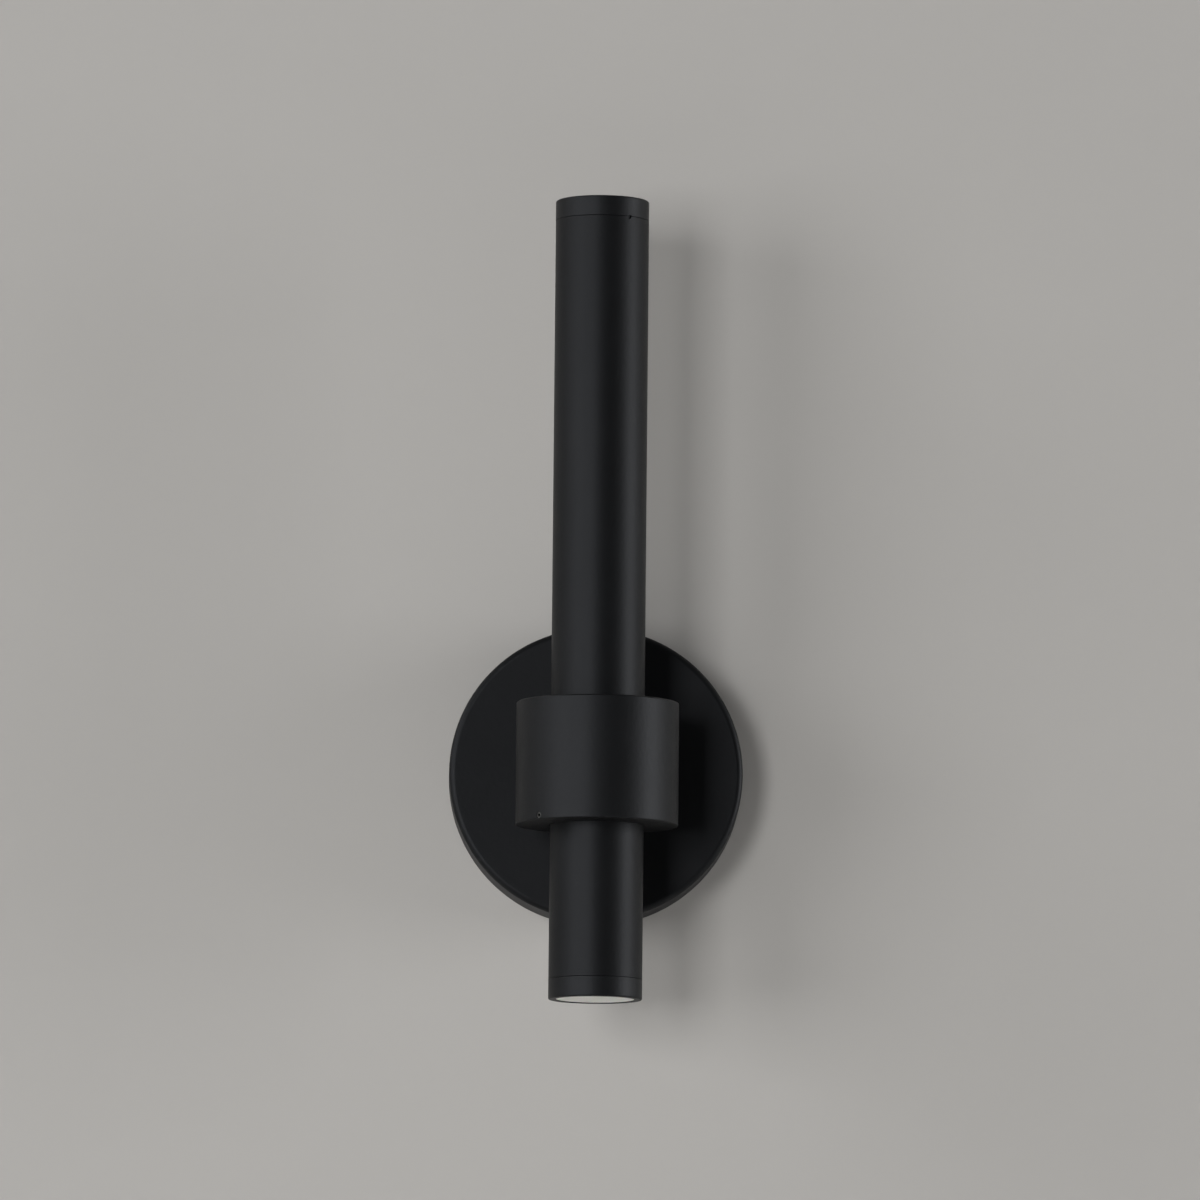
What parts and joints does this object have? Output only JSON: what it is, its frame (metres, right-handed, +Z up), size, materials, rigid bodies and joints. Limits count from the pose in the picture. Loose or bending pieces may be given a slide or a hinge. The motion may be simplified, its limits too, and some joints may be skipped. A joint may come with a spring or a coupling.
{
  "type": "outdoor wall sconce",
  "caption": "Outdoor up and down wall light: an upright black tube held by a short thick collar in front of a round canopy, with a frosted lens and a screw-on ring at each end.",
  "frame": {"origin": "on the wall plane, halfway between the crossbar's two box-screw slots, behind the canopy's centre", "axes": "+Y points into the wall and -Y faces the room; +Z is up, along the tube; +X is to the right seen from the front"},
  "size_m": [0.12, 0.0955, 0.3263],
  "materials": {
    "satin_black": "fine satin powder coat",
    "black_rubber": "soft matte",
    "zinc_steel": "bright zinc plate",
    "black_steel": "black oxide",
    "green_steel": "green zinc plate",
    "brass": "plain turned brass",
    "white_nylon": "moulded nylon",
    "frosted_lens": "frosted polycarbonate",
    "bright_reflector": "polished",
    "raw_aluminium": "as extruded",
    "white_board": "white solder mask on metal",
    "phosphor": "silicone with yellow phosphor",
    "grey_pad": "soft silicone",
    "grey_case": "grey paint",
    "green_board": "glass-epoxy laminate",
    "white_sleeve": "sleeved wire",
    "red_sleeve": "sleeved wire"
  },
  "bodies": {
    "body": {"canopy": "satin_black", "wall_gasket": "black_rubber", "crossbar": "zinc_steel", "ground_screw": "green_steel", "canopy_side_screws": "black_steel", "stem_gasket": "black_rubber", "nipple": "zinc_steel", "nipple_washer": "black_steel", "nipple_nut": "brass", "nipple_bushing": "white_nylon", "steady_screw": "zinc_steel", "terminal_block": "white_nylon", "terminal_screws": "brass", "collar": "satin_black", "tube_lock_screws": "black_steel", "tube": "satin_black", "tube_grommet": "black_rubber", "driver_case": "grey_case", "driver_cover": "grey_case", "driver_board": "green_board", "driver_rings": "white_nylon", "input_leads": "white_sleeve", "upper_leads": "red_sleeve", "lower_leads": "red_sleeve", "upper_reflector": "bright_reflector", "upper_led_holder": "white_nylon", "upper_led_screws": "zinc_steel", "upper_led_emitter": "phosphor", "upper_led_board": "white_board", "upper_thermal_pad": "grey_pad", "upper_heat_sink": "raw_aluminium", "lower_reflector": "bright_reflector", "lower_led_holder": "white_nylon", "lower_led_screws": "zinc_steel", "lower_led_emitter": "phosphor", "lower_led_board": "white_board", "lower_thermal_pad": "grey_pad", "lower_heat_sink": "raw_aluminium"},
    "upper_lens_set": {"upper_lens": "frosted_lens", "upper_lens_gasket": "black_rubber"},
    "upper_ring": {"upper_bezel": "satin_black"},
    "lower_lens_set": {"lower_lens": "frosted_lens", "lower_lens_gasket": "black_rubber"},
    "lower_ring": {"lower_bezel": "satin_black"}
  },
  "joints": [
    {"name": "upper_ring_travel", "type": "slide", "parent": "body", "child": "upper_lens_set", "axis": [0, 0, 1], "range_m": [0, 0.00325]},
    {"name": "upper_ring_turn", "type": "hinge", "parent": "upper_lens_set", "child": "upper_ring", "pos_m": [0, -0.0625, 0.2305], "axis": [0, 0, 1], "range_deg": [0, 1170]},
    {"name": "lower_ring_travel", "type": "slide", "parent": "body", "child": "lower_lens_set", "axis": [0, 0, -1], "range_m": [0, 0.00325]},
    {"name": "lower_ring_turn", "type": "hinge", "parent": "lower_lens_set", "child": "lower_ring", "pos_m": [0, -0.0625, -0.0958], "axis": [0, 0, -1], "range_deg": [0, 1170]}
  ],
  "couplings": [
    {"joint": "upper_ring_travel", "follows": "upper_ring_turn", "m_per_rad": 0.00015915},
    {"joint": "lower_ring_travel", "follows": "lower_ring_turn", "m_per_rad": 0.00015915}
  ]
}
